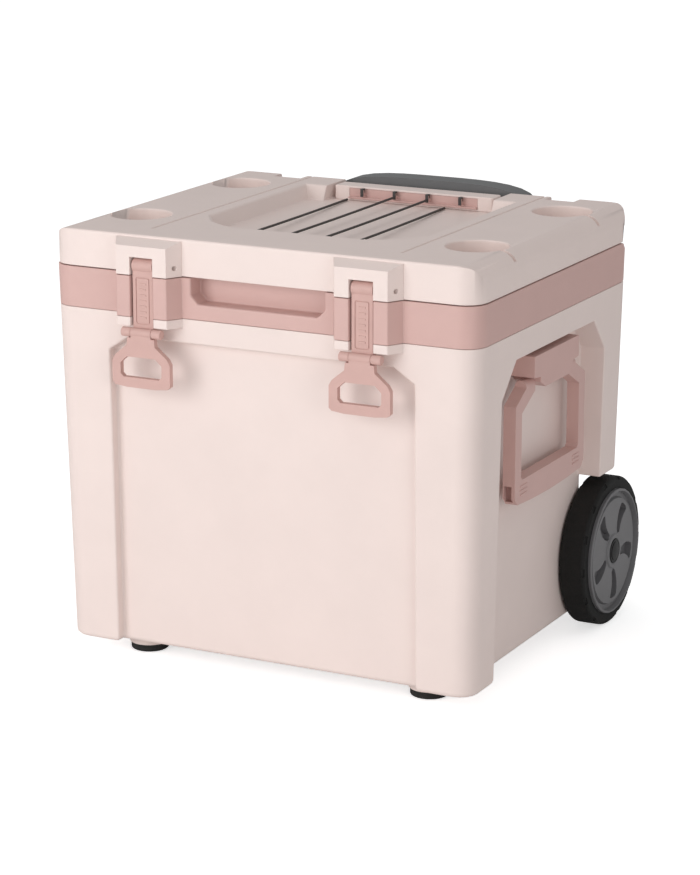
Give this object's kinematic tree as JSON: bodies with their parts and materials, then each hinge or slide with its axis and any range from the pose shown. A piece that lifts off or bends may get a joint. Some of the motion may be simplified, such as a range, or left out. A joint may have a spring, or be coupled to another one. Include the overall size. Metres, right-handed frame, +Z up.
{
  "type": "wheeled cooler",
  "caption": "Hard-sided insulated chest on wheels, with a hinged lid with tray and cup holders, rubber latches, side bail handles and a telescoping pull handle.",
  "frame": {"origin": "on the ground, under the middle of the whole chest", "axes": "+Z up, +X along the chest's width towards its right side seen from the front, -Y out of the front, which has the two latches; the wheels are at +Y"},
  "size_m": [0.612, 0.5716, 0.5764],
  "materials": {
    "cream_plastic": "satin",
    "pink_plastic": "satin",
    "pink_rubber": "matte",
    "liner_white": "satin",
    "foam": "matte",
    "dark_plastic": "satin",
    "hub_grey": "satin",
    "tyre_black": "matte",
    "rubber_black": "matte",
    "cord_black": "matte",
    "steel": "satin"
  },
  "bodies": {
    "tub": {"tub_shell": "cream_plastic", "tub_foam": "foam", "tub_liner": "liner_white", "collar": "pink_plastic", "foot_left": "rubber_black", "foot_right": "rubber_black", "hinge_bracket_left": "pink_plastic", "hinge_bracket_right": "pink_plastic", "hinge_pin_left": "steel", "hinge_pin_right": "steel", "side_bracket_left": "pink_plastic", "side_bracket_right": "pink_plastic", "side_handle_pin_left": "steel", "side_handle_pin_right": "steel", "tow_guide_left": "dark_plastic", "tow_guide_right": "dark_plastic", "tow_bracket_upper": "dark_plastic", "tow_bracket_lower": "dark_plastic", "axle": "steel", "axle_ring_left": "steel", "axle_ring_right": "steel", "axle_spacer_left": "dark_plastic", "axle_spacer_right": "dark_plastic", "drain_spout": "dark_plastic"},
    "lid": {"lid_shell": "cream_plastic", "lid_lug_left": "cream_plastic", "lid_lug_right": "cream_plastic", "lid_foam": "foam", "lid_liner": "liner_white", "lid_gasket": "rubber_black", "hook_block": "cream_plastic", "rear_hook_strip": "pink_plastic", "front_hook_strip": "pink_plastic", "cord_1": "cord_black", "cord_2": "cord_black", "cord_3": "cord_black", "cord_4": "cord_black", "latch_pin_left": "steel", "latch_pin_right": "steel"},
    "left_latch": {"latch_left": "pink_rubber", "crossbar_left": "pink_rubber"},
    "right_latch": {"latch_right": "pink_rubber", "crossbar_right": "pink_rubber"},
    "left_side_handle": {"side_handle_left": "pink_plastic"},
    "right_side_handle": {"side_handle_right": "pink_plastic"},
    "left_wheel": {"tyre_left": "tyre_black", "hub_left": "hub_grey", "hub_cap_left": "dark_plastic"},
    "right_wheel": {"tyre_right": "tyre_black", "hub_right": "hub_grey", "hub_cap_right": "dark_plastic"},
    "tow_handle": {"tow_grip": "dark_plastic", "tow_rail_left": "steel", "tow_rail_right": "steel"},
    "tow_release": {"tow_trigger": "hub_grey"},
    "drain_stopper": {"drain_plug": "dark_plastic", "drain_seal": "rubber_black"}
  },
  "joints": [
    {"name": "lid_hinge", "type": "hinge", "parent": "tub", "child": "lid", "pos_m": [0, 0.21715, 0.554], "axis": [-1, 0, 0], "range_deg": [0, 90], "deforming": ["crossbar_left", "crossbar_right"]},
    {"name": "latch_left_swing", "type": "hinge", "parent": "lid", "child": "left_latch", "pos_m": [-0.1535, -0.26985, 0.5335], "axis": [-1, 0, 0], "range_deg": [0, 90]},
    {"name": "latch_right_swing", "type": "hinge", "parent": "lid", "child": "right_latch", "pos_m": [0.1535, -0.26985, 0.5335], "axis": [-1, 0, 0], "range_deg": [0, 90]},
    {"name": "side_handle_left_swing", "type": "hinge", "parent": "tub", "child": "left_side_handle", "pos_m": [-0.2835, -0.01635, 0.387], "axis": [0, 1, 0], "range_deg": [0, 85]},
    {"name": "side_handle_right_swing", "type": "hinge", "parent": "tub", "child": "right_side_handle", "pos_m": [0.2835, -0.01635, 0.387], "axis": [0, -1, 0], "range_deg": [0, 85]},
    {"name": "wheel_left_spin", "type": "hinge", "parent": "tub", "child": "left_wheel", "pos_m": [-0.282, 0.18435, 0.1015], "axis": [1, 0, 0], "continuous": true},
    {"name": "wheel_right_spin", "type": "hinge", "parent": "tub", "child": "right_wheel", "pos_m": [0.282, 0.18435, 0.1015], "axis": [1, 0, 0], "continuous": true},
    {"name": "tow_handle_lift", "type": "slide", "parent": "tub", "child": "tow_handle", "axis": [0, 0, 1], "range_m": [0, 0.34]},
    {"name": "tow_trigger_squeeze", "type": "slide", "parent": "tow_handle", "child": "tow_release", "axis": [0, 0, 1], "range_m": [0, 0.004], "stiffness_N_per_m": 800},
    {"name": "drain_plug_pull", "type": "slide", "parent": "tub", "child": "drain_stopper", "axis": [-1, 0, 0], "range_m": [0, 0.01]}
  ]
}
